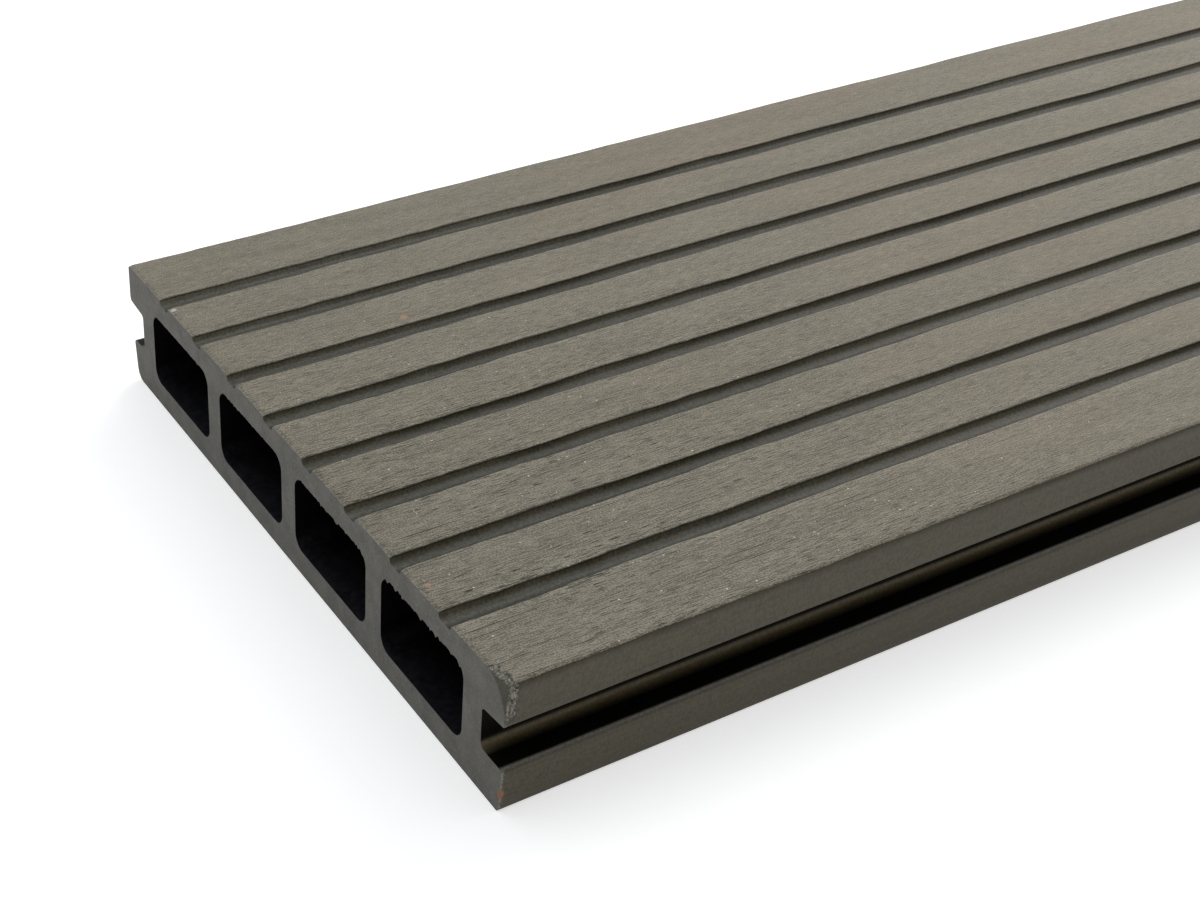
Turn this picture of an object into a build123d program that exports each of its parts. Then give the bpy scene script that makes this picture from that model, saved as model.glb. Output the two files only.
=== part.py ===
"""Hollow composite decking board, extruded as one piece of stock.

The board lies flat: its length along X, its width along Y, its walking
face up. The origin is the middle of its underside.
"""

import os

from build123d import *

# Overall size
length = 2200.0
width = 150.0
thickness = 25.0

# Chambers that run through the board, side by side
chamber_count = 4
web = 5.5
floor_wall = 5.0
roof_wall = 5.0
side_wall = 5.75
chamber_radius = 2.8

# Slot along each side, between a thick upper lip and a thinner lower lip
slot_depth = 6.6
upper_lip_tip = 7.9
upper_lip_slope = 0.7
lower_lip = 8.6
slot_radius = 0.8
lip_radius = 0.9

# Lower lip of each side: how far its top stands back from the upper lip,
# how much further it slopes in by the underside, and its bottom corner
near_lip_setback = 0.2
near_lip_draft = 0.5
near_bottom_radius = 0.8
far_lip_setback = 1.0
far_lip_draft = 1.2
far_bottom_radius = 2.5

# Grooves between the ridges of the walking face
groove_count = 8
groove_width = 4.4
groove_depth = 1.2
groove_wall_angle = 70.0
side_ridge = 16.1
ridge_radius = 0.6
groove_radius = 0.4

# Chip broken off the near top corner, at the end that lies at low X: how far
# across and down from the corner its outline runs on the end face, how far
# along the board its tip lies, and how far outside the board it is drawn
chip_outline = [(6.5, 0.0), (2.9, 1.2), (0.7, 3.8), (0.0, 7.4)]
chip_along = 3.0
chip_margin = 1.0

half_length = length / 2
half_width = width / 2
slot_back = half_width - slot_depth
lip_tip_height = thickness - upper_lip_tip
lip_root_height = lip_tip_height - upper_lip_slope
chamber_span = 2 * (slot_back - side_wall)
chamber_width = (chamber_span - (chamber_count - 1) * web) / chamber_count
chamber_height = thickness - floor_wall - roof_wall
chamber_middle = floor_wall + chamber_height / 2
groove_pitch = (width - 2 * side_ridge - groove_width) / (groove_count - 1)


def side_corners(side, setback, draft):
    """Corners of one side, from the walking face down; side is -1 or 1."""
    lip_top = half_width - setback
    return [
        (side * half_width, thickness),
        (side * half_width, lip_tip_height),
        (side * slot_back, lip_root_height),
        (side * slot_back, lower_lip),
        (side * lip_top, lower_lip),
        (side * (lip_top - draft), 0),
    ]


def round_corners(sketch, corners, radius):
    """Round the sketch at the given corners."""
    fillet([sketch.vertices().sort_by_distance(corner)[0] for corner in corners], radius)


near_side = side_corners(-1, near_lip_setback, near_lip_draft)
far_side = side_corners(1, far_lip_setback, far_lip_draft)

with BuildPart() as decking_board:
    with BuildSketch(Plane.YZ.offset(-half_length)) as section:
        with BuildLine():
            Polyline(*far_side, *reversed(near_side), close=True)
        make_face()

        # Grooves, wider at the mouth than at the floor
        with Locations((0, thickness)):
            with GridLocations(groove_pitch, 0, groove_count, 1):
                Trapezoid(
                    groove_width,
                    groove_depth,
                    groove_wall_angle,
                    rotation=180,
                    align=(Align.CENTER, Align.MIN),
                    mode=Mode.SUBTRACT,
                )
        fillet(section.vertices().group_by(Axis.Y)[-2], groove_radius)
        fillet(section.vertices().group_by(Axis.Y)[-1], ridge_radius)

        # Lips and slots of the two sides
        for corners in (near_side, far_side):
            round_corners(section, (corners[1], corners[4]), lip_radius)
            round_corners(section, (corners[2], corners[3]), slot_radius)
        round_corners(section, [near_side[5]], near_bottom_radius)
        round_corners(section, [far_side[5]], far_bottom_radius)

        with Locations((0, chamber_middle)):
            with GridLocations(chamber_width + web, 0, chamber_count, 1):
                RectangleRounded(
                    chamber_width, chamber_height, chamber_radius, mode=Mode.SUBTRACT
                )
    extrude(amount=length)

    # Chip: flat facets from its outline on the end face to a tip beside the edge
    with BuildSketch(Plane.YZ.offset(-half_length)) as chip:
        with BuildLine():
            broken = [(across - half_width, thickness - down) for across, down in chip_outline]
            Polyline(
                (broken[0][0], thickness + chip_margin),
                *broken,
                (-half_width - chip_margin, broken[-1][1]),
                (-half_width - chip_margin, thickness + chip_margin),
                close=True,
            )
        make_face()
    chip_tip = Vertex(
        chip_along - half_length, -half_width - chip_margin, thickness + chip_margin
    )
    loft(sections=[chip.face(), chip_tip], ruled=True, mode=Mode.SUBTRACT)

decking_board.part.label = "decking_board"

os.makedirs("parts", exist_ok=True)
export_step(decking_board.part, "parts/decking_board.step")
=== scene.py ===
"""A hollow composite decking board on a pale studio floor.

Lengths of the board are written in millimetres, and its mesh is scaled to
metres once, when it is made. x runs along the board from its near cut end,
y across it and z up. The materials measure in metres.
"""

import math

import bpy
import numpy as np
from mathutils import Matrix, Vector
from mathutils.geometry import delaunay_2d_cdt


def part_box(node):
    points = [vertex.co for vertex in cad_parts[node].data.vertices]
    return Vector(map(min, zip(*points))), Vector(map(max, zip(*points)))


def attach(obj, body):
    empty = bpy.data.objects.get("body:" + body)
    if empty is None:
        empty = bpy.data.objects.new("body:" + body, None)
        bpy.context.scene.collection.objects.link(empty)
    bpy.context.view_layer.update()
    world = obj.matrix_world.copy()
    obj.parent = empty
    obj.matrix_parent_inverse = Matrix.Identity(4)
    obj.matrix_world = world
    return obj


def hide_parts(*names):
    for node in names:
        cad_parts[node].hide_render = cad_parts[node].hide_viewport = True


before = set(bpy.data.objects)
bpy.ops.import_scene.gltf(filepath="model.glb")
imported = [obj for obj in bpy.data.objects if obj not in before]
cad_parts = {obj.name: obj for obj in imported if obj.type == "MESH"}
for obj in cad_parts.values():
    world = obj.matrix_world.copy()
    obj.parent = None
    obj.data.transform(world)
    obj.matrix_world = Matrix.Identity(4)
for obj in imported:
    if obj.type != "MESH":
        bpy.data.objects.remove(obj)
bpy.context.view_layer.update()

# Camera: a 58 mm lens on a 36 mm sensor, upright, 21 cm above the table, 26 cm
# to the board's near side and 11 cm out from its near cut end. The photograph
# is cropped on its right, which the small shift follows.
near_end_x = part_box("decking_board")[0].x
camera_place = Vector((near_end_x - 0.109921, -0.259472, 0.210258))
camera_aim = Vector((near_end_x + 0.028913, -0.018862, 0.025))


def set_up(name, data, place, aim):
    """Puts a camera or a lamp in its place, upright and turned to its aim."""
    thing = bpy.data.objects.new(name, data)
    thing.location = place
    thing.rotation_euler = (aim - place).to_track_quat("-Z", "Y").to_euler()
    bpy.context.scene.collection.objects.link(thing)
    return thing


camera_data = bpy.data.cameras.new("camera")
camera_data.lens = 57.94
camera_data.sensor_width = 36.0
camera_data.shift_x = 0.10
camera_data.clip_start = 0.01
camera_data.clip_end = 100.0
bpy.context.scene.camera = set_up("camera", camera_data, camera_place, camera_aim)

# Studio: a white table that runs out of sight, light walls all round with a
# dim ceiling on the camera's side, and one wide soft lamp behind the board.
bpy.context.scene.view_settings.view_transform = "Standard"

table_half = 30.0
table_white = (0.80, 0.80, 0.80, 1.0)
seen_glow, mirrored_glow = 0.55, 0.34
wall_light = (1.0, 1.0, 1.0, 1.0)
back_light = (0.90, 0.95, 1.0, 1.0)
dim_ceiling = (0.20, 0.19, 0.17, 1.0)
bright_side = (0.35, 0.62, 0.70)
ceiling_turn, wall_top = (0.15, 0.75), (0.12, 0.38)
lamp_place = Vector((near_end_x + 4.7, 2.5, 2.9))
lamp_aim = Vector((near_end_x + 0.3, 0.0, 0.0))
lamp_size = 4.0
lamp_power = 220.0
lamp_tint = (1.0, 0.930, 0.825)

table_corners = [(-1, -1), (1, -1), (1, 1), (-1, 1)]
table_mesh = bpy.data.meshes.new("studio_table")
table_mesh.from_pydata(
    [(x * table_half, y * table_half, 0.0) for x, y in table_corners],
    [],
    [(0, 1, 2, 3)],
)
table = bpy.data.objects.new("studio_table", table_mesh)
bpy.context.scene.collection.objects.link(table)


def join(tree, value, socket):
    """Links an output to an input, or sets the input where a value is given."""
    if isinstance(value, bpy.types.NodeSocket):
        tree.links.new(value, socket)
    else:
        socket.default_value = value


def calc(tree, operation, first, second=0.0, clamp=False):
    """One sum on two values, kept from 0 to 1 where it is clamped."""
    node = tree.nodes.new("ShaderNodeMath")
    node.operation = operation
    node.use_clamp = clamp
    join(tree, first, node.inputs[0])
    join(tree, second, node.inputs[1])
    return node.outputs[0]


def times(tree, first, second):
    """Two values multiplied."""
    return calc(tree, "MULTIPLY", first, second)


def mixture(tree, parts):
    """The sum of values, each times its own share."""
    total = None
    for value, part in parts:
        piece = times(tree, value, part)
        total = piece if total is None else calc(tree, "ADD", total, piece)
    return total


def ramp(tree, value, low, high, out_low=0.0, out_high=1.0):
    """A value taken from low..high to out_low..out_high with smooth ends."""
    node = tree.nodes.new("ShaderNodeMapRange")
    node.interpolation_type = "SMOOTHSTEP"
    join(tree, value, node.inputs["Value"])
    node.inputs["From Min"].default_value = low
    node.inputs["From Max"].default_value = high
    node.inputs["To Min"].default_value = out_low
    node.inputs["To Max"].default_value = out_high
    return node.outputs["Result"]


def blend(tree, amount, first, second, how="MIX"):
    """Two colours mixed by an amount."""
    node = tree.nodes.new("ShaderNodeMix")
    node.data_type = "RGBA"
    node.blend_type = how
    join(tree, amount, node.inputs["Factor"])
    join(tree, first, node.inputs["A"])
    join(tree, second, node.inputs["B"])
    return node.outputs["Result"]


def axes(tree, vector):
    """The X, Y and Z of a place or a direction."""
    node = tree.nodes.new("ShaderNodeSeparateXYZ")
    join(tree, vector, node.inputs[0])
    return node.outputs


def measure(tree, operation, first, second):
    """One number from two vectors: how far apart, or how much the same way."""
    node = tree.nodes.new("ShaderNodeVectorMath")
    node.operation = operation
    join(tree, first, node.inputs[0])
    join(tree, second, node.inputs[1])
    return node.outputs["Value"]


# The table glows where it is seen or mirrored, and lights nothing else
table_paint = bpy.data.materials.new("table_white")
table_paint.use_nodes = True
tree = table_paint.node_tree
tree.nodes.clear()
table_out = tree.nodes.new("ShaderNodeOutputMaterial")
table_diffuse = tree.nodes.new("ShaderNodeBsdfDiffuse")
table_diffuse.inputs["Color"].default_value = table_white
table_glow = tree.nodes.new("ShaderNodeEmission")
rays = tree.nodes.new("ShaderNodeLightPath").outputs
mirrored = calc(tree, "MAXIMUM", rays["Is Glossy Ray"], rays["Is Transmission Ray"])
glow = [(rays["Is Camera Ray"], seen_glow), (mirrored, mirrored_glow)]
both = tree.nodes.new("ShaderNodeAddShader")
join(tree, mixture(tree, glow), table_glow.inputs["Strength"])
join(tree, table_diffuse.outputs[0], both.inputs[0])
join(tree, table_glow.outputs[0], both.inputs[1])
join(tree, both.outputs[0], table_out.inputs["Surface"])
table_mesh.materials.append(table_paint)

world = bpy.data.worlds.new("studio")
bpy.context.scene.world = world
world.use_nodes = True
tree = world.node_tree
tree.nodes.clear()
world_out = tree.nodes.new("ShaderNodeOutputWorld")
background = tree.nodes.new("ShaderNodeBackground")
direction = tree.nodes.new("ShaderNodeTexCoord").outputs["Generated"]
toward = measure(tree, "DOT_PRODUCT", direction, Vector(bright_side).normalized())
ceiling = blend(tree, ramp(tree, toward, *ceiling_turn), dim_ceiling, back_light)
above = ramp(tree, axes(tree, direction)["Z"], *wall_top)
join(tree, blend(tree, above, wall_light, ceiling), background.inputs["Color"])
join(tree, background.outputs[0], world_out.inputs["Surface"])

lamp_data = bpy.data.lights.new("soft_lamp", "AREA")
lamp_data.shape = "SQUARE"
lamp_data.size = lamp_size
lamp_data.energy = lamp_power
lamp_data.color = lamp_tint
set_up("soft_lamp", lamp_data, lamp_place, lamp_aim)

# Decking board: wood flour and polyethylene, extruded in one piece with four
# chambers, its walking face brushed along its length, then sawn to length.
length, width, thickness = 2200.0, 150.0, 25.0
half_width = width / 2
slot_back, lip_tip, lip_root, lower_lip = 68.4, 17.1, 16.4, 8.6
near_lip, near_bottom, far_lip, far_bottom = 74.8, 74.3, 74.0, 72.8
groove_count, groove_width, groove_depth, groove_pitch = 8, 4.4, 1.2, 16.2
groove_lean = groove_depth / math.tan(math.radians(70.0))
groove_shift = np.array([0.20, 0.30, 0.20, 0.20, -0.10, -0.45, -0.50, -0.50])
groove_middle = (np.arange(groove_count) - (groove_count - 1) / 2) * groove_pitch
groove_middle = groove_middle + groove_shift
near_wall_in, near_floor_in, grooves_within = 0.3, 0.2, 60.0
rng = np.random.default_rng(41)


def outline_corners():
    """Corners of the section, in turn up the near side, along the walking face
    toward the far side, down the far side and back under the board.

    Each row is y, z, the radius it is worn or drawn to, and the edge that
    wanders there (0 for none, 1 and up for edges of the walking face)."""
    rows = [
        (-near_bottom, 0.0, 0.6, 0),
        (-near_lip, lower_lip, 0.9, 0),
        (-slot_back, lower_lip, 1.1, 0),
        (-slot_back, lip_root, 0.8, 0),
        (-half_width, lip_tip, 0.5, 0),
        (-half_width, thickness, 0.8, 1),
    ]
    mouth, floor = groove_width / 2, groove_width / 2 - groove_lean
    low = thickness - groove_depth
    for groove, middle in enumerate(groove_middle):
        rows += [
            (middle - mouth + near_wall_in, thickness, 0.25, 2 * groove + 2),
            (middle - floor + near_floor_in, low, 0.3, 0),
            (middle + floor, low, 0.7, 0),
            (middle + mouth, thickness, 0.14, 2 * groove + 3),
        ]
    rows += [
        (half_width, thickness, 0.4, 2 * groove_count + 2),
        (half_width, lip_tip, 0.9, 0),
        (slot_back, lip_root, 0.8, 0),
        (slot_back, lower_lip, 0.8, 0),
        (far_lip, lower_lip, 0.9, 0),
        (far_bottom, 0.0, 2.5, 0),
    ]
    return np.array(rows)


def rounded(corners, radii, steps):
    """Every corner of a closed outline cut by an arc of its radius.

    The arc's centre lies on the corner's bisector, radius / sin(half angle)
    from the corner. Points are centre + radius * direction, the direction
    turning evenly from one tangent point to the other."""
    to_last = np.roll(corners, 1, axis=0) - corners
    to_next = np.roll(corners, -1, axis=0) - corners
    to_last /= np.linalg.norm(to_last, axis=1)[:, None]
    to_next /= np.linalg.norm(to_next, axis=1)[:, None]
    bisector = to_last + to_next
    bisector /= np.linalg.norm(bisector, axis=1)[:, None]
    half = np.arccos(np.clip(np.sum(to_last * bisector, axis=1), -1, 1))
    centre = corners + bisector * (radii / np.sin(half))[:, None]
    tangent = (radii / np.tan(half))[:, None]
    first = corners + to_last * tangent - centre
    last = corners + to_next * tangent - centre
    sweep = math.pi - 2 * half
    part = np.linspace(0, 1, steps)
    grow = np.sin((1 - part)[None, :] * sweep[:, None]) / np.sin(sweep)[:, None]
    fade = np.sin(part[None, :] * sweep[:, None]) / np.sin(sweep)[:, None]
    arc = grow[:, :, None] * first[:, None, :] + fade[:, :, None] * last[:, None, :]
    return arc + centre[:, None, :]


def run_points(start, end, spacing):
    """Points between two arcs, with neither end: the start plus an evenly
    growing part of the way to the end."""
    count = max(1, int(math.ceil(np.linalg.norm(end - start) / spacing)))
    part = np.linspace(0, 1, count + 1)[1:-1]
    return start + part[:, None] * (end - start)


# How far apart the outline's points stand, how near a ridge's last points are
# to its arcs, where the chip's close points end, and a length that counts as 0
chip_spacing, wall_spacing, slot_spacing = 0.33, 0.22, 0.6
ridge_spacing, under_spacing, floor_spacing, plain_spacing = 2.4, 12.0, 0.85, 1.3
arc_steps, brush_margin, chip_ridge_end, hair = 4, 0.4, -67.0, 0.01


def straight_run(start, end):
    """Points of one straight run of the section, from an arc to the next.

    They stand closest at the chipped corner and on the grooves' far walls. A
    point close to each arc of a ridge keeps the brushing's edge narrow."""
    low, high = min(start[1], end[1]), max(start[1], end[1])
    on_top = low > thickness - hair
    from_floor = abs(start[1] + groove_depth - thickness) + abs(end[1] - start[1])
    on_far_wall = start[1] < end[1] and start[1] > thickness - groove_depth - hair
    upright = abs(start[0] - end[0]) < hair
    if on_top and start[0] < -slot_back:
        middle = np.array([chip_ridge_end, thickness])
        close = run_points(start, middle, chip_spacing)
        rest = run_points(middle, end, ridge_spacing)
        return np.vstack([close, middle[None, :], rest])
    if start[1] > lip_tip - 2 and end[1] > thickness - 2 and end[0] < -slot_back:
        return run_points(start, end, chip_spacing)
    if on_top:
        pull = (end - start) / np.linalg.norm(end - start) * brush_margin
        rest = run_points(start + pull, end - pull, ridge_spacing)
        return np.vstack([(start + pull)[None, :], rest, (end - pull)[None, :]])
    if on_far_wall and abs(start[0]) < grooves_within:
        return run_points(start, end, wall_spacing)
    if upright and start[0] < -slot_back + 1 and lower_lip < start[1] < lip_tip - 0.1:
        return run_points(start, end, slot_spacing)
    if high < 3.0 and abs(start[0] - end[0]) > 10:
        return run_points(start, end, under_spacing)
    return run_points(start, end, floor_spacing if from_floor < hair else plain_spacing)


def make_outline():
    """Outline of the section as points, with each point's edge number: every
    corner's arc, then the straight run to the next."""
    corners = outline_corners()
    arcs = rounded(corners[:, :2], corners[:, 2], arc_steps)
    points, edges = [], []
    for arc, after, edge in zip(arcs, np.roll(arcs, -1, axis=0), corners[:, 3]):
        run = straight_run(arc[-1], after[0])
        points += [arc, run]
        edges += [np.full(len(arc), edge), np.zeros(len(run))]
    return np.vstack(points), np.concatenate(edges)


# Stations along the board: reach, first step and growth of the steps from each
# cut end, and how many stations the rest of the length has
near_growing, far_growing, middle_count = (310, 0.28, 0.0195), (60, 0.6, 0.2), 62


def growing(reach, step, growth):
    """Distances from a cut end as far as the reach, each step longer than the
    first by the growth times the distance so far."""
    places = [0.0]
    while places[-1] < reach:
        places.append(places[-1] + step + growth * places[-1])
    return np.array(places)


def make_stations():
    """Places along the board: growing steps from the near cut, even ones along
    the middle, and growing ones back from the far cut."""
    near, far = growing(*near_growing), growing(*far_growing)
    middle = np.linspace(near[-1], length - far[-1], middle_count)
    return np.concatenate([near, middle[1:-1], length - far[::-1]])


def wander(along, spacing, pitch, rows):
    """Smooth random wandering from -1 to 1 along the board, one row each.

    Random heights a pitch apart are joined by cosine easing. Where the
    stations lie too far apart to carry the pitch, it fades out."""
    knots = rng.uniform(-1, 1, (rows, int(length / pitch) + 3))
    whole = np.floor(along / pitch).astype(int)
    part = along / pitch - whole
    ease = (1 - np.cos(math.pi * part)) / 2
    carried = np.clip((pitch / spacing - 1) / 2, 0, 1)
    return (knots[:, whole] * (1 - ease) + knots[:, whole + 1] * ease) * carried


# The chip: how far its outline runs from the near corner across and down the
# cut, how deep its smooth bevel and its torn rim fall back, and their reach
chip_across, chip_down = 6.5, 8.2
bevel_depth, bevel_curve = 0.80, 0.6
rim_depth_side, rim_depth_top, rim_reach, rim_start = 1.15, 0.35, 0.30, 0.12

# Its crumbs, where they start as a share of the chip, and how far along the
# board the chip and its torn rim fade
crumb_pitch, crumb_spacing, crumb_swing, crumb_grit = 0.9, 0.2, 0.30, 0.14
chip_start, chip_fade, torn_fade, torn_depth = 0.06, 2.6, 0.9, 0.22


def chip_share(y, z):
    """0 on and inside the chip's outline, a quarter of an ellipse round the
    corner's inner point, and 1 at the corner itself."""
    across = np.clip(1 - (y + half_width) / chip_across, 0, 1)
    down = np.clip(1 - (thickness - z) / chip_down, 0, 1)
    return np.clip((np.hypot(across, down) - 1) / (math.sqrt(2) - 1), 0, 1)


def chip_recess(y, z):
    """How far the chipped near corner falls back from the cut end.

    A bevel deepens as the share to the power of its curve. Close to the
    board's outside a torn rim falls farther, by exp(-(distance / reach)^2)."""
    share = chip_share(y, z)
    from_side, from_top = y + half_width, thickness - z
    bevel = bevel_depth * share**bevel_curve
    torn = np.clip(share / rim_start, 0, 1)
    side = rim_depth_side * np.exp(-((from_side / rim_reach) ** 2))
    top = rim_depth_top * np.exp(-((from_top / rim_reach) ** 2))
    return bevel + torn * np.maximum(side, top)


outline, outline_edge = make_outline()
stations = make_stations()
station_gap = np.gradient(stations)
point_count, station_count = len(outline), len(stations)

# How strongly each outline point follows each wandering edge: f falls from 1
# to 0 over the edge's reach round the outline, eased as 3 f^2 - 2 f^3
edge_total, edge_reach = 2 * groove_count + 2, 1.35
steps_along = np.linalg.norm(np.roll(outline, -1, axis=0) - outline, axis=1)
outline_place = np.concatenate([[0], np.cumsum(steps_along)[:-1]])
outline_length = steps_along.sum()
edge_place = np.array(
    [outline_place[outline_edge == edge + 1].mean() for edge in range(edge_total)]
)
apart = np.abs(outline_place[:, None] - edge_place[None, :])
apart = np.minimum(apart, outline_length - apart)
follow = np.clip(1 - apart / edge_reach, 0, 1)
follow = follow * follow * (3 - 2 * follow)

# Edges wander sideways, by a pitch along the board and a size each, steadier
# near the cut, and are worn down. The two outer ones only wander inward.
swings = [(34.0, 0.26), (13.0, 0.18), (5.5, 0.14), (1.7, 0.09)]
steadied, steady_reach = 0.6, 15
worn_pitch, worn_depth = 21.0, 0.07
swing = sum(
    size * wander(stations, station_gap, pitch, edge_total) for pitch, size in swings
)
swing = swing * (1 - steadied * np.exp(-stations / steady_reach))
worn = wander(stations, station_gap, worn_pitch, edge_total)
worn = worn_depth + worn_depth * worn
inward = np.zeros(edge_total)
inward[0], inward[-1] = 1, -1
swing = np.where(inward[:, None] == 0, swing, inward[:, None] * np.abs(swing))

skin_y = outline[:, 0][None, :] + swing.T @ follow.T
skin_z = outline[:, 1][None, :] - worn.T @ follow.T
skin_x = np.repeat(stations[:, None], point_count, axis=1)
inside_chip = np.clip(chip_share(outline[:, 0], outline[:, 1]) / chip_start, 0, 1)
recess = chip_recess(outline[:, 0], outline[:, 1])
crumbs = wander(outline_place, np.full(point_count, crumb_spacing), crumb_pitch, 1)[0]
crumbs = crumb_swing * crumbs + crumb_grit * rng.uniform(-1, 1, point_count)
recess = np.clip(recess + crumbs * inside_chip, 0, None)
skin_x = skin_x + recess[None, :] * np.exp(-stations / chip_fade)[:, None]

# The torn rim is eaten into the side, in crumbs that fade along the board
torn = np.exp(-stations / torn_fade)[:, None] * inside_chip[None, :]
eaten = rng.uniform(0, torn_depth, (station_count, point_count)) * torn
skin_y = np.clip(skin_y + eaten, -half_width, half_width)
skin_z = np.clip(skin_z - 0.5 * eaten, 0, thickness)

# The saw has rounded the ends of the ridges a little
ridge_rounding, ridge_reach, ridge_top = 0.16, 0.45, 0.4
on_ridge = outline[:, 1] > thickness - ridge_top
at_cut = np.exp(-((stations / ridge_reach) ** 2))
skin_z -= ridge_rounding * on_ridge[None, :] * at_cut[:, None]

saw_lean, lean_fade = 0.0426, 60.0


def lean(x, z):
    """The near saw cut leans: its top lies back by the lean times the height
    times exp(-x / fade), so that it fades out along the board."""
    return x + saw_lean * z * np.exp(-x / lean_fade)


def loop_faces(first, rings, around):
    """Four-sided faces of a tube of rings, ring after ring, closed round."""
    ring, point = np.meshgrid(np.arange(rings - 1), np.arange(around), indexing="ij")
    after = (point + 1) % around
    corners = [
        first + ring * around + point,
        first + (ring + 1) * around + point,
        first + (ring + 1) * around + after,
        first + ring * around + after,
    ]
    return np.stack(corners, axis=2).reshape(-1, 4)


vertices = [np.stack([lean(skin_x, skin_z), skin_y, skin_z], axis=2).reshape(-1, 3)]
skin_faces = loop_faces(0, station_count, point_count)

# Chambers: rounded boxes that run through, their roofs torn by the saw into
# crumbs, some large and most a quarter as large
chamber_count, chamber_width, web = 4, 27.2, 5.5
chamber_low, chamber_high, chamber_radius, chamber_steps = 5.0, 20.0, 2.8, 7
chamber_tear = (0.62, 0.50, 0.28, 0.26)
roof_spacing, chamber_spacing = 0.45, 4.0
tear_start, tear_soft, tear_reach = 18.4, 1.4, 0.8
large_share, small_size = 0.45, 0.25
chamber_stations = np.array([0, 0.3, 0.7, 1.3, 2.5, 5, 10, 20, 40, 80, 700])
chamber_stations = np.concatenate([chamber_stations, length - chamber_stations[::-1]])
near_holes, far_holes, chamber_faces = [], [], []
start = point_count * station_count
for chamber in range(chamber_count):
    middle = (chamber - (chamber_count - 1) / 2) * (chamber_width + web)
    low, high = middle - chamber_width / 2, middle + chamber_width / 2
    floor_corners = [(low, chamber_low), (high, chamber_low)]
    roof_corners = [(high, chamber_high), (low, chamber_high)]
    box = np.array(floor_corners + roof_corners)
    arcs = rounded(box, np.full(4, chamber_radius), chamber_steps)
    ring = []
    for side, arc in enumerate(arcs):
        spacing = roof_spacing if side == 2 else chamber_spacing
        ring += [arc, run_points(arc[-1], arcs[(side + 1) % 4][0], spacing)]
    ring = np.vstack(ring)
    roof = np.clip((ring[:, 1] - tear_start) / tear_soft, 0, 1)
    crumbs = rng.uniform(-0.4, 1.0, len(ring))
    is_large = rng.uniform(0, 1, len(ring)) < large_share
    crumbs = np.where(is_large, crumbs, small_size * crumbs)
    tear = chamber_tear[chamber] * roof * crumbs
    depth = np.exp(-((chamber_stations / tear_reach) ** 2))
    ring_z = ring[:, 1][None, :] - depth[:, None] * tear[None, :]
    ring_y = np.repeat(ring[:, 0][None, :], len(chamber_stations), axis=0)
    ring_x = np.repeat(chamber_stations[:, None], len(ring), axis=1)
    tube = np.stack([lean(ring_x, ring_z), ring_y, ring_z], axis=2)
    vertices.append(tube.reshape(-1, 3))
    chamber_faces.append(loop_faces(start, len(chamber_stations), len(ring)))
    near_holes.append(start + np.arange(len(ring)))
    start += len(ring) * len(chamber_stations)
    far_holes.append(start - len(ring) + np.arange(len(ring)))


def within(points, ring):
    """True for points inside a closed ring, by counting the ring's edges that
    a line from the point toward +y crosses."""
    after = np.roll(ring, -1, axis=0)
    y, z = points[:, 0][:, None], points[:, 1][:, None]
    spans = (ring[None, :, 1] > z) != (after[None, :, 1] > z)
    rise = after[:, 1] - ring[:, 1]
    rise = np.where(rise == 0, 1e-12, rise)
    cross = ring[:, 0] + (z - ring[None, :, 1]) * (after[:, 0] - ring[:, 0]) / rise
    return (np.sum(spans & (cross > y), axis=1) % 2) == 1


def cut_end(ring_ids, hole_ids, extra, first_extra, facing):
    """Triangles of one cut end between its outline and its chambers.

    The outline and the chambers are kept as edges, the extra points lie
    inside, and the triangles between them are Delaunay's. Those whose
    middle lies in a chamber or outside the outline are left out."""
    rings = [ring_ids] + hole_ids
    ids = np.concatenate(rings + [first_extra + np.arange(len(extra))])
    everything = np.vstack(vertices)
    flat = np.vstack([everything[ids[: len(ids) - len(extra)]][:, 1:], extra])
    kept_edges, places, place = [], [], 0
    for ring in rings:
        number = np.arange(len(ring)) + place
        kept_edges += list(zip(number.tolist(), np.roll(number, -1).tolist()))
        places.append(flat[number])
        place += len(ring)
    found = delaunay_2d_cdt([Vector(p) for p in flat], kept_edges, [], 0, 1e-5)
    triangles = np.array(found[2])
    corner = np.array(found[0])[triangles]
    middles = corner.mean(axis=1)
    inside = within(middles, places[0])
    for hole in places[1:]:
        inside &= ~within(middles, hole)
    side, other = corner[:, 1] - corner[:, 0], corner[:, 2] - corner[:, 0]
    turned = side[:, 0] * other[:, 1] - side[:, 1] * other[:, 0]
    wrong = turned * facing < 0
    triangles[wrong] = triangles[wrong][:, ::-1]
    return ids[triangles[inside]]


def crowded(reach, first, count, power):
    """Distances that crowd toward 0: the reach times a part to the power, the
    part going evenly from its first value to 1."""
    return reach * np.linspace(first, 1, count) ** power


# Points of the chip on the near cut, closer together toward its rim, shaken a
# little, and none closer to the outline than the gap
grid_across, grid_down = crowded(7.0, 0.012, 44, 1.7), crowded(8.4, 0.010, 58, 1.5)
grid_shake, grid_gap = 0.03, 0.06
grid_start, grid_rim, grid_tear, grid_grit = 0.04, 0.42, (-0.26, 0.14), 0.03
grid_y, grid_z = np.meshgrid(-half_width + grid_across, thickness - grid_down)
chip_points = np.stack([grid_y.ravel(), grid_z.ravel()], axis=1)
chip_points += rng.uniform(-grid_shake, grid_shake, chip_points.shape)
end_outline = np.stack([skin_y[0], skin_z[0]], axis=1)
gap = np.linalg.norm(chip_points[:, None, :] - end_outline[None, :, :], axis=2)
clear = gap.min(axis=1) > grid_gap
chip_points = chip_points[within(chip_points, end_outline) & clear]
chip_x = chip_recess(chip_points[:, 0], chip_points[:, 1])
chip_bevel = chip_share(chip_points[:, 0], chip_points[:, 1])
chip_bevel = np.clip(chip_bevel / grid_start, 0, 1)
chip_rim = np.minimum(chip_points[:, 0] + half_width, thickness - chip_points[:, 1])
chip_torn = chip_bevel * np.exp(-((chip_rim / grid_rim) ** 2))
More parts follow.
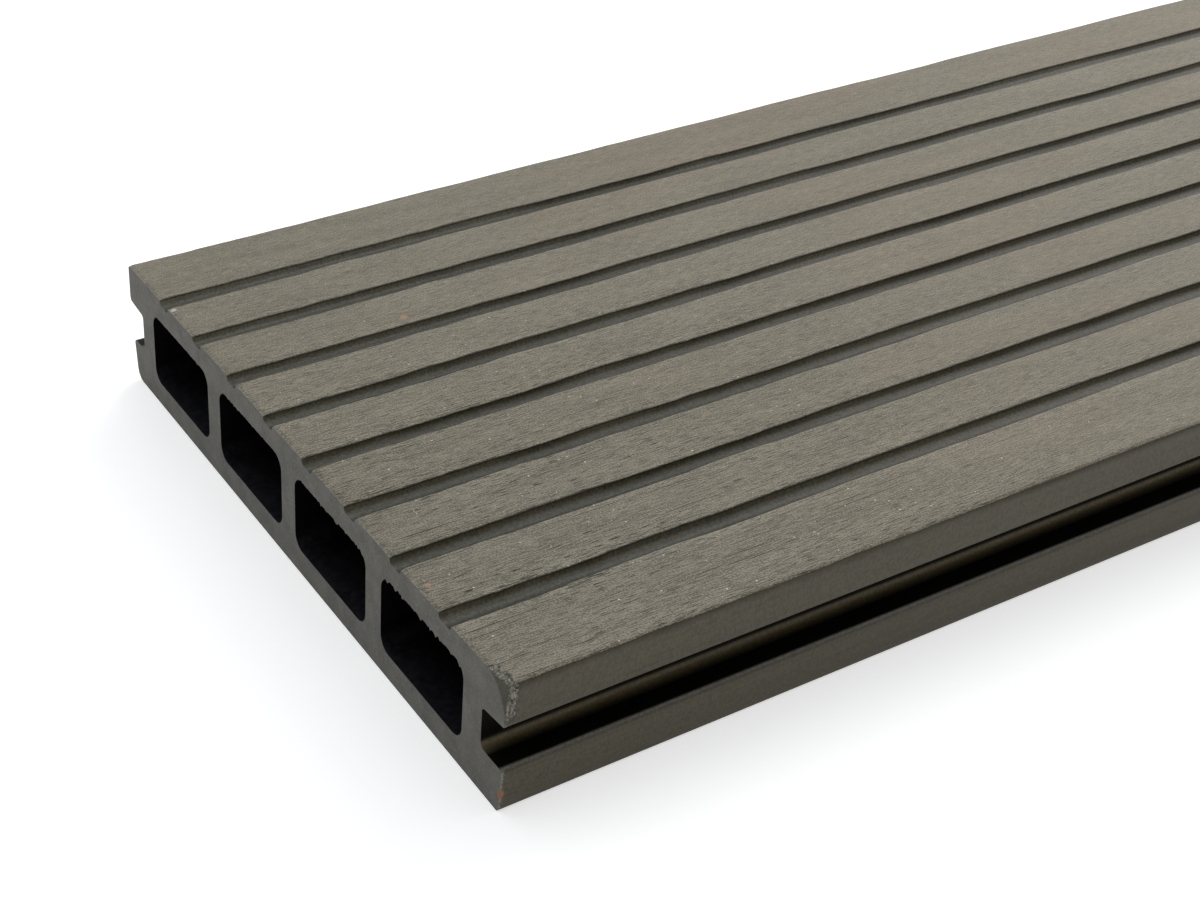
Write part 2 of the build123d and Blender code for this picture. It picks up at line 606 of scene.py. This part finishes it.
chip_x += chip_torn * rng.uniform(*grid_tear, len(chip_x))
chip_x += grid_grit * rng.uniform(-1, 1, len(chip_x)) * chip_bevel
chip_x = np.clip(chip_x, 0, None)

near_ids = np.arange(point_count)
far_ids = near_ids + (station_count - 1) * point_count
near_faces = cut_end(near_ids, near_holes, chip_points, start, -1)
far_faces = cut_end(far_ids, far_holes, np.zeros((0, 2)), start, 1)
vertices.append(np.column_stack([lean(chip_x, chip_points[:, 1]), chip_points]))

# The mesh itself: four-sided faces of skin and chambers, then the two cuts
points = np.vstack(vertices) / 1000 + np.array([near_end_x, 0.0, 0.0])
quads = np.vstack([skin_faces] + chamber_faces)
cuts = np.vstack([near_faces, far_faces])
corner_ids = np.concatenate([quads.ravel(), cuts.ravel()]).astype(np.int32)
sizes = np.concatenate([np.full(len(quads), 4), np.full(len(cuts), 3)])
starts = np.concatenate([[0], np.cumsum(sizes)[:-1]]).astype(np.int32)
sharp_angle = 38
board_mesh = bpy.data.meshes.new("board_dressed")
board_mesh.vertices.add(len(points))
board_mesh.vertices.foreach_set("co", points.astype(np.float32).ravel())
board_mesh.loops.add(len(corner_ids))
board_mesh.loops.foreach_set("vertex_index", corner_ids)
board_mesh.polygons.add(len(sizes))
board_mesh.polygons.foreach_set("loop_start", starts)
board_mesh.update(calc_edges=True)
board_mesh.shade_smooth()
board_mesh.set_sharp_from_angle(angle=math.radians(sharp_angle))


def between(value, low, high, soft):
    """1 where a value lies from low to high, falling to 0 over soft outside."""
    return np.clip(1 - np.maximum(low - value, value - high) / soft, 0, 1)


# Finish of every point of the outline: brushed or not, frayed by the saw where
# it meets the cut, and its tint and gloss: the skin's own tint, with painted
# shade, painted highlights and painted reflections laid into it in the grooves,
# in the slots and along the edges. Limits are millimetres across or up, and
# shares of the depth down a groove.
out_y, out_z = np.abs(outline[:, 0]), outline[:, 1]
down_groove = (thickness - out_z) / groove_depth
to_middles = outline[:, 0][:, None] - groove_middle
phase = to_middles[np.arange(point_count), np.abs(to_middles).argmin(axis=1)]
in_groove = ((out_y < grooves_within) & (out_z > 23)).astype(float)
far_wall, near_wall = in_groove * (phase > 0.9), in_groove * (phase < -0.9)
on_side = (out_y > half_width - 1.1).astype(float)
on_lip = (out_y > 73.0).astype(float)
slot_deep, slot_high = (out_y > 66) & (out_y < 73.9), (out_z > 8.5) & (out_z < 17.05)
in_slot = (slot_deep & slot_high).astype(float)
at_root = between(out_z, 8.5, 9.2, 0.7) * between(out_y, slot_back, 69.2, 0.9)

# Red, green and blue of the tint, then the gloss. Each later look is laid over
# the ones before it by its amount at each point.
side_look = (1.36, 1.26, 0.88, 0.48)
# The grooves' floors: their own cooler skin, with a painted bluish reflection of the
# sky
groove_tint_and_painted_sky = (1.78, 1.94, 2.23, 0.03)
# Painted light on the lower part of the grooves' far walls
wall_low_painted_light = (1.70, 1.68, 1.50, 0.20)
# Painted shade at the top of the grooves' far walls and along their near walls
wall_top_painted_shade = (0.28, 0.22, 0.10, 0.12)
# Painted shade: a dark band of dim reflection just under the walking face's edge
edge_painted_shade = (0.90, 0.78, 0.50, 0.30)
# Painted shade: the slots' insides near black
slot_painted_shade = (0.05, 0.05, 0.04, 0.20)
# Painted highlight: a pale olive stripe at the root of each slot
root_painted_highlight = (2.3, 2.0, 1.25, 0.60)
# Painted shade on the lower lip's rounded edge, below its highlight
lip_round_painted_shade = (0.95, 0.86, 0.60, 0.35)
# Painted highlight: a thin pale line along the lower lip's top edge
lip_edge_painted_highlight = (3.0, 3.1, 3.3, 0.60)
look = np.tile(np.array(side_look), (point_count, 1))
for over, amount in [
    (groove_tint_and_painted_sky, in_groove),
    (wall_low_painted_light, far_wall * between(down_groove, 0.45, 0.90, 0.15)),
    (wall_top_painted_shade, far_wall * between(down_groove, -1.0, 0.18, 0.27)),
    (wall_top_painted_shade, near_wall * between(down_groove, 0.10, 0.9, 0.08)),
    (edge_painted_shade, on_side * between(out_z, 24.1, 26.0, 0.8)),
    (slot_painted_shade, in_slot),
    (root_painted_highlight, in_slot * at_root),
    (lip_round_painted_shade, on_side * between(out_z, 7.9, 8.3, 0.3)),
    (lip_edge_painted_highlight, on_lip * between(out_z, 8.42, 8.54, 0.03)),
]:
    look = look + amount[:, None] * (np.array(over) - look)

# Painted light and shade in the grooves: far walls are painted lighter toward
# the far side, and floors get a painted shade by the near wall: share of the
# tint, and the stretch and softness of the darkening
far_wall_painted_light = np.array([0.60, 0.66, 0.85])
far_side = far_wall * np.clip(outline[:, 0] / grooves_within, 0, 1)
look[:, :3] *= 1 + far_side[:, None] * far_wall_painted_light
for share, *stretch in [(0.15, -1.3, -0.3, 0.2), (0.45, -1.9, -0.6, 0.3)]:
    look[:, :3] *= 1 - share * (in_groove * between(phase, *stretch))[:, None]

brushed = between(out_z, thickness - 0.10, thickness, 0.05)
frayed = np.maximum(brushed, on_side * between(out_z, 0.0, 8.3, 0.1))
frayed = np.maximum(frayed, on_side * between(out_z, 17.2, 25.0, 0.1))

# Material of every face: 0 satin skin, 1 sawn cuts, 2 chamber walls, and 3 the
# matt skin of grooves and slots, where the gloss is low
brushed_gloss, matt_below = 0.5, 0.28
gloss = np.where(brushed > 0.5, brushed_gloss, look[:, 3])
matt_face = (gloss + np.roll(gloss, -1)) / 2 < matt_below
skin_finish = np.tile(np.where(matt_face, 3, 0), station_count - 1)
end_finish = np.repeat([2, 1], [len(quads) - len(skin_faces), len(cuts)])
finish = np.concatenate([skin_finish, end_finish]).astype(np.int32)
board_mesh.polygons.foreach_set("material_index", finish)


def add_layer(name, on_skin, on_chip=0.0):
    """Stores a value on the mesh: given on the skin and the chip, else none."""
    values = np.zeros(len(points), dtype=np.float32)
    whole_skin = np.broadcast_to(on_skin, (station_count, point_count))
    values[: whole_skin.size] = whole_skin.ravel()
    values[len(points) - len(chip_points) :] = on_chip
    layer = board_mesh.attributes.new(name, "FLOAT", "POINT")
    layer.data.foreach_set("value", values)


add_layer("brushed", brushed)
add_layer("frayed", frayed)
add_layer("torn", torn, chip_torn)
add_layer("bevelled", inside_chip, chip_bevel)
tint = np.ones((len(points), 4), dtype=np.float32)
tint[: point_count * station_count, :3] = np.tile(look[:, :3], (station_count, 1))
layer = board_mesh.attributes.new("tint_and_painted_light", "FLOAT_COLOR", "POINT")
layer.data.foreach_set("color", tint.ravel())

board = bpy.data.objects.new("board_dressed", board_mesh)
bpy.context.scene.collection.objects.link(board)


def new_group(name, ins, outs):
    """A node group with named sockets of numbers, vectors or colours."""
    group = bpy.data.node_groups.new(name, "ShaderNodeTree")
    for in_out, sockets in (("INPUT", ins), ("OUTPUT", outs)):
        for socket, kind in sockets.items():
            kind = "NodeSocket" + kind
            group.interface.new_socket(socket, in_out=in_out, socket_type=kind)
    put_in = group.nodes.new("NodeGroupInput").outputs
    return group, put_in, group.nodes.new("NodeGroupOutput").inputs


def noise(tree, vector, scale, detail, roughness=0.5, offset=(0, 0, 0)):
    """Noise on a vector stretched by a scale per axis, in features a metre."""
    stretch = tree.nodes.new("ShaderNodeMapping")
    stretch.inputs["Scale"].default_value = scale
    stretch.inputs["Location"].default_value = offset
    texture = tree.nodes.new("ShaderNodeTexNoise")
    texture.inputs["Scale"].default_value = 1.0
    texture.inputs["Detail"].default_value = detail
    texture.inputs["Roughness"].default_value = roughness
    tree.links.new(vector, stretch.inputs["Vector"])
    tree.links.new(stretch.outputs[0], texture.inputs["Vector"])
    return texture.outputs["Fac"]


def use_group(tree, group, where):
    """A shared effect placed in a material."""
    node = tree.nodes.new("ShaderNodeGroup")
    node.node_tree = group
    tree.links.new(where, node.inputs["Vector"])
    return node


# Fibre grain: fibres of wood flour pulled out along the board by the brush.
# Each pattern has its scale, detail, roughness and offset.
grain_patterns = {
    "grit": ((2700, 4400, 4400), 1.0, 0.7),
    "threads": ((380, 3600, 3600), 1.0, 0.6, (3, 7, 1)),
    "streaks": ((45, 280, 280), 1.0, 0.5, (4, 6, 8)),
    "short": ((330, 5000, 5000), 0.0, 0.5, (5, 5, 5)),
    "long": ((80, 4300, 4300), 0.0, 0.5, (2, 9, 4)),
    "patches": ((16, 52, 52), 2.0, 0.5, (2, 4, 6)),
}
grain_shares = {"grit": 0.50, "threads": 0.37, "streaks": 0.13}
short_crack, short_patch = (0.665, 0.76), (0.62, 0.42, 0.15, 1.0)
long_crack, long_patch = (0.73, 0.82), (0.46, 0.62)
glint_cells, glint_edge, glint_pick = 560.0, (0.120, 0.060), (0.45, 1.0, 0.0, 0.95)

grain_names = ("Grit", "Fibres", "Cracks", "Glints", "Patches")
fibre_grain, grain_in, grain_out = new_group(
    "fibre_grain", {"Vector": "Vector"}, dict.fromkeys(grain_names, "Float")
)
spot = grain_in["Vector"]
made = {name: noise(fibre_grain, spot, *row) for name, row in grain_patterns.items()}
grit, patches = made["grit"], made["patches"]
fibres = [(made[name], share) for name, share in grain_shares.items()]
short_cracks = times(
    fibre_grain,
    ramp(fibre_grain, made["short"], *short_crack),
    ramp(fibre_grain, patches, *short_patch),
)
long_cracks = times(
    fibre_grain,
    ramp(fibre_grain, made["long"], *long_crack),
    ramp(fibre_grain, patches, *long_patch),
)
cells = fibre_grain.nodes.new("ShaderNodeTexVoronoi")
cells.inputs["Scale"].default_value = glint_cells
join(fibre_grain, spot, cells.inputs["Vector"])
cell_pick = fibre_grain.nodes.new("ShaderNodeSeparateColor")
join(fibre_grain, cells.outputs["Color"], cell_pick.inputs[0])
glints = times(
    fibre_grain,
    ramp(fibre_grain, cells.outputs["Distance"], *glint_edge),
    ramp(fibre_grain, cell_pick.outputs[0], *glint_pick),
)
cracks = calc(fibre_grain, "MAXIMUM", short_cracks, long_cracks)
grain_values = (grit, mixture(fibre_grain, fibres), cracks, glints, patches)
for name, value in zip(grain_names, grain_values):
    join(fibre_grain, value, grain_out[name])

# Saw fray: how near a spot lies to the near cut, made ragged by the grit
fray_grit, fray_edge = -0.0020, (-0.0004, -0.0009)
saw_fray, fray_in, fray_out = new_group(
    "saw_fray", {"Vector": "Vector", "Grit": "Float"}, {"Fray": "Float"}
)
place = axes(saw_fray, fray_in["Vector"])
from_cut = calc(saw_fray, "SUBTRACT", place["X"], near_end_x)
from_cut = calc(saw_fray, "SUBTRACT", from_cut, times(saw_fray, place["Z"], saw_lean))
uneven = times(saw_fray, fray_in["Grit"], fray_grit)
ragged = calc(saw_fray, "ADD", from_cut, uneven)
join(saw_fray, ramp(saw_fray, ragged, *fray_edge), fray_out["Fray"])

# Torn composite: pale crumbs and pulled fibres between dark cracks
crumb_pattern, crumb_span = ((2600, 3600, 2000), 3.0, 0.7), (0.36, 0.62)
line_pattern, line_edge = ((900, 1500, 500), 2.0, 0.5), (0.030, 0.010)
torn_dark, torn_pale = (0.080, 0.075, 0.056, 1), (0.32, 0.305, 0.245, 1)
torn_line = (0.02, 0.018, 0.012, 1)
torn_crumbs, torn_in, torn_out = new_group(
    "torn_crumbs", {"Vector": "Vector"}, {"Colour": "Color", "Height": "Float"}
)
crumb = noise(torn_crumbs, torn_in["Vector"], *crumb_pattern)
line = noise(torn_crumbs, torn_in["Vector"], *line_pattern)
line = calc(torn_crumbs, "ABSOLUTE", calc(torn_crumbs, "SUBTRACT", line, 0.5))
line = ramp(torn_crumbs, line, *line_edge)
crumb_tone = ramp(torn_crumbs, crumb, *crumb_span)
crumb_colour = blend(torn_crumbs, crumb_tone, torn_dark, torn_pale)
crumb_colour = blend(torn_crumbs, line, crumb_colour, torn_line)
join(torn_crumbs, crumb_colour, torn_out["Colour"])
join(torn_crumbs, crumb, torn_out["Height"])

# Flecks: single coloured specks in the composite, their rims uneven by the grit
fleck_rim, fleck_uneven, fleck_size = (1.35, 0.80), 0.3, 0.85
fleck, fleck_in, fleck_out = new_group(
    "fleck",
    {"Vector": "Vector", "Grit": "Float", "Place": "Vector", "Size": "Float"},
    {"Mask": "Float"},
)
away = measure(fleck, "DISTANCE", fleck_in["Vector"], fleck_in["Place"])
reach = calc(fleck, "ADD", times(fleck, fleck_in["Grit"], fleck_uneven), fleck_size)
reach = times(fleck, fleck_in["Size"], reach)
share_out = calc(fleck, "DIVIDE", away, reach)
join(fleck, ramp(fleck, share_out, *fleck_rim), fleck_out["Mask"])


def add_flecks(tree, where, grit_value, colour, flecks):
    """Lays coloured specks over a colour, each a place, a size and a colour."""
    for (x, y, z), size, speck in flecks:
        node = use_group(tree, fleck, where)
        place = (near_end_x + x / 1000, y / 1000, z / 1000)
        join(tree, grit_value, node.inputs["Grit"])
        join(tree, place, node.inputs["Place"])
        join(tree, size / 1000, node.inputs["Size"])
        colour = blend(tree, node.outputs["Mask"], colour, speck)
    return colour


def new_material(name):
    """A material with a Principled shader, and its Object coordinates."""
    material = bpy.data.materials.new(name)
    material.use_nodes = True
    tree = material.node_tree
    tree.nodes.clear()
    out = tree.nodes.new("ShaderNodeOutputMaterial")
    shader = tree.nodes.new("ShaderNodeBsdfPrincipled")
    tree.links.new(shader.outputs[0], out.inputs["Surface"])
    where = tree.nodes.new("ShaderNodeTexCoord")
    return material, tree, shader, where.outputs["Object"]


def attribute(tree, name, output="Fac"):
    """A mask or colour stored on the mesh."""
    node = tree.nodes.new("ShaderNodeAttribute")
    node.attribute_name = name
    return node.outputs[output]


def bump(tree, height_value, strength, distance):
    """A bump from a height, its distance in metres."""
    node = tree.nodes.new("ShaderNodeBump")
    node.inputs["Strength"].default_value = strength
    node.inputs["Distance"].default_value = distance
    tree.links.new(height_value, node.inputs["Height"])
    return node.outputs["Normal"]


# Brushed walking face: its colours, and how its working changes away from the
# chipped corner, as a ramp from one distance to another and its amounts there
brushed_light = (0.252, 0.226, 0.166, 1)
brushed_dark = (0.094, 0.0835, 0.055, 1)
warm_tint = (1.05, 0.965, 0.95, 1)
scraped_tint = (0.98, 1.00, 1.04, 1)
ring_tint = (1.06, 1.07, 1.09, 1)
crack_colour = (0.036, 0.028, 0.014, 1)
glint_colour = (0.66, 0.64, 0.56, 1)
coarse_fade, crack_fade = (0.03, 0.20, 1.08, 0.56), (0.03, 0.14, 1.0, 0.20)
glint_fade, scraped_fade = (0.06, 0.16, 1.0, 0.35), (0.03, 0.09, 1.0, 0.0)
warm_rise, warm_patch = (0.05, 0.25, 0.15, 1.0), (0.40, 0.66)
ring_reach, ring_across = (0.22, 0.15), (-0.015, 0.010)
fibre_span = (-0.11, 0.11)

# Drawn skin: its colours and patterns, and where the brushing ends on it
skin_light = (0.060, 0.055, 0.041, 1)
skin_dark = (0.036, 0.032, 0.023, 1)
mottle_pattern, mottle_share = ((2300, 2300, 1700), 2.0, 0.6), 0.76
drag_pattern, drag_share = ((14, 1500, 1500), 1.0, 0.5, (1, 2, 3)), 0.24
skin_span, brush_uneven, brush_edge = (0.34, 0.66), 0.5, (0.58, 0.85)

# Frayed and torn places, and the coloured specks: place, size and colour
fray_colour, fray_amount = (0.25, 0.24, 0.20, 1), (0.9, 0.2)
torn_edge = (0.36, 0.56)
crevice_colour = (0.030, 0.026, 0.022, 1)
crevice_rise, crevice_fall = (0.12, 0.24), (0.50, 0.36)
crevice_pattern, crevice_gaps = ((600, 600, 600), 1.0, 0.5, (8, 1, 3)), (0.42, 0.56)
orange_fleck = (0.30, 0.12, 0.055, 1)
rusty_fleck = (0.32, 0.19, 0.12, 1)
pale_fleck = (0.50, 0.48, 0.43, 1)
lip_fleck = ((0.2, -74.7, 3.6), 0.75, orange_fleck)
skin_flecks = [
    ((39.3, 28.5, 24.9), 0.70, rusty_fleck),
    ((2.8, -47.8, 24.9), 0.50, rusty_fleck),
    ((1.9, 53.2, 24.6), 0.60, pale_fleck),
    lip_fleck,
]
skin_roughness, crack_roughness = (0.48, 0.70), 0.25
fibre_bump, fibre_height = 0.8, 0.0003
chipped_corner = (near_end_x, -half_width / 1000, thickness / 1000)


def worked_skin(name, shine):
    """The brushed walking face and the drawn skin, one finish running into the
    other by the mesh's own masks, with one shine all over."""
    material, tree, shader, where = new_material(name)
    grain = use_group(tree, fibre_grain, where).outputs
    away = measure(tree, "DISTANCE", where, chipped_corner)

    # Brushed: fibres, then warm patches, the scraped corner, the lighter ring
    # on the far half, cracks and glints
    cracks = times(tree, grain["Cracks"], ramp(tree, away, *crack_fade))
    fibres = calc(tree, "SUBTRACT", grain["Fibres"], 0.5)
    fibres = times(tree, fibres, ramp(tree, away, *coarse_fade))
    worked = blend(tree, ramp(tree, fibres, *fibre_span), brushed_dark, brushed_light)
    patched = ramp(tree, grain["Patches"], *warm_patch)
    far_half = ramp(tree, axes(tree, where)["Y"], *ring_across)
    for amount, tone in [
        (times(tree, ramp(tree, away, *warm_rise), patched), warm_tint),
        (ramp(tree, away, *scraped_fade), scraped_tint),
        (times(tree, far_half, ramp(tree, away, *ring_reach)), ring_tint),
    ]:
        worked = blend(tree, amount, worked, tone, "MULTIPLY")
    worked = blend(tree, cracks, worked, crack_colour)
    glints = times(tree, grain["Glints"], ramp(tree, away, *glint_fade))
    worked = blend(tree, glints, worked, glint_colour)

    # Drawn: mottled and dragged, in the stored tint, which holds the skin's own
    # tint with its painted shade, highlights and reflections
    mottle = noise(tree, where, *mottle_pattern)
    drag = noise(tree, where, *drag_pattern)
    even = mixture(tree, [(mottle, mottle_share), (drag, drag_share)])
    skin = blend(tree, ramp(tree, even, *skin_span), skin_dark, skin_light)
    skin = blend(tree, 1.0, skin, attribute(tree, "tint_and_painted_light", "Color"), "MULTIPLY")
    uneven = times(tree, grain["Grit"], brush_uneven)
    is_brushed = calc(tree, "ADD", attribute(tree, "brushed"), uneven)
    is_brushed = ramp(tree, is_brushed, *brush_edge)
    surface = blend(tree, is_brushed, skin, worked)

    # Frayed by the saw, torn at the chip, with dark crevices round the tear
    fray = use_group(tree, saw_fray, where)
    join(tree, grain["Grit"], fray.inputs["Grit"])
    frayed_here = times(tree, fray.outputs["Fray"], attribute(tree, "frayed"))
    fray_share = ramp(tree, is_brushed, 0, 1, *fray_amount)
    surface = blend(tree, times(tree, frayed_here, fray_share), surface, fray_colour)
    crumbs_here = use_group(tree, torn_crumbs, where).outputs
    torn_here = attribute(tree, "torn")
    is_torn = ramp(tree, torn_here, *torn_edge)
    surface = blend(tree, is_torn, surface, crumbs_here["Colour"])
    round_tear = times(
        tree, ramp(tree, torn_here, *crevice_rise), ramp(tree, torn_here, *crevice_fall)
    )
    broken = ramp(tree, noise(tree, where, *crevice_pattern), *crevice_gaps)
    crevice = times(tree, round_tear, broken)
    surface = blend(tree, crevice, surface, crevice_colour)
    surface = add_flecks(tree, where, grain["Grit"], surface, skin_flecks)
    join(tree, surface, shader.inputs["Base Color"])

    roughness = ramp(tree, is_brushed, 0.0, 1.0, *skin_roughness)
    rougher = times(tree, cracks, crack_roughness)
    join(tree, calc(tree, "ADD", roughness, rougher, True), shader.inputs["Roughness"])
    shader.inputs["Specular IOR Level"].default_value = shine
    relief = times(tree, calc(tree, "SUBTRACT", fibres, cracks), is_brushed)
    relief = bump(tree, relief, fibre_bump, fibre_height)
    join(tree, relief, shader.inputs["Normal"])
    return material


satin_shine, matt_shine = 0.50, 0.08
satin = worked_skin("composite_brushed_and_drawn", satin_shine)
matt = worked_skin("composite_groove_and_slot", matt_shine)

# Sawn composite: cut straight through, matt, with pale specks of wood
sawn_light, sawn_dark = (0.148, 0.143, 0.128, 1), (0.104, 0.101, 0.091, 1)
sawn_pale, bevel_shade = (0.23, 0.225, 0.20, 1), (0.62, 0.59, 0.50, 1)
cloud_pattern, cloud_span = ((260, 260, 260), 3.0, 0.55), (0.28, 0.72)
grains_pattern = ((2600, 2600, 2600), 2.0, 0.6, (6, 3, 2))
pale_grains, dark_grains = (0.54, 0.74, 0.0, 0.75), (0.44, 0.28, 0.0, 0.6)
sawn_torn_edge, sawn_bump, sawn_height = (0.20, 0.60), 0.3, 0.0001
sawn, tree, shader, where = new_material("composite_sawn")
cloud = noise(tree, where, *cloud_pattern)
grains = noise(tree, where, *grains_pattern)
cut = blend(tree, ramp(tree, cloud, *cloud_span), sawn_dark, sawn_light)
cut = blend(tree, ramp(tree, grains, *pale_grains), cut, sawn_pale)
cut = blend(tree, ramp(tree, grains, *dark_grains), cut, sawn_dark)
shaded = blend(tree, 1.0, cut, bevel_shade, "MULTIPLY")
cut = blend(tree, attribute(tree, "bevelled"), cut, shaded)
crumbs_here = use_group(tree, torn_crumbs, where).outputs["Colour"]
is_torn = ramp(tree, attribute(tree, "torn"), *sawn_torn_edge)
cut = blend(tree, is_torn, cut, crumbs_here)
cut = add_flecks(tree, where, grains, cut, [lip_fleck])
join(tree, cut, shader.inputs["Base Color"])
shader.inputs["Roughness"].default_value = 0.75
join(tree, bump(tree, grains, sawn_bump, sawn_height), shader.inputs["Normal"])

# Chamber walls: the same skin, smooth and painted near black as the chambers'
# shade, with a little pale, speckled painted sheen on the floor at the mouths
chamber_shade_dark, chamber_shade_light = (0.0006, 0.0006, 0.0007, 1), (0.0018, 0.0018, 0.0021, 1)
# Painted sheen: pale speckled reflections on the chambers' floors inside both cut ends
mouth_painted_sheen, sheen_depth, sheen_height = (0.019, 0.019, 0.024, 1), 0.013, (0.0085, 0.0055)
core_pattern, core_span = ((12, 420, 420), 2.0), (0.35, 0.65)
speckle_pattern = ((900, 900, 900), 3.0, 0.7, (4, 4, 9))
speckle_span = (0.34, 0.70, 0.25, 1.0)
inner, tree, shader, where = new_material("composite_chamber_wall")
drag = noise(tree, where, *core_pattern)
walls = blend(tree, ramp(tree, drag, *core_span), chamber_shade_dark, chamber_shade_light)
spot = axes(tree, where)
from_middle, end_at = calc(tree, "ABSOLUTE", spot["X"]), length / 2000
mouth = ramp(tree, from_middle, end_at - sheen_depth, end_at)
sheen_here = times(tree, mouth, ramp(tree, spot["Z"], *sheen_height))
speckle = noise(tree, where, *speckle_pattern)
sheen_here = times(tree, sheen_here, ramp(tree, speckle, *speckle_span))
walls = blend(tree, sheen_here, walls, mouth_painted_sheen)
join(tree, walls, shader.inputs["Base Color"])
shader.inputs["Roughness"].default_value = 0.50
shader.inputs["Specular IOR Level"].default_value = 0.10

for material in (satin, sawn, inner, matt):
    board_mesh.materials.append(material)

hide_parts("decking_board")
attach(board, "root")
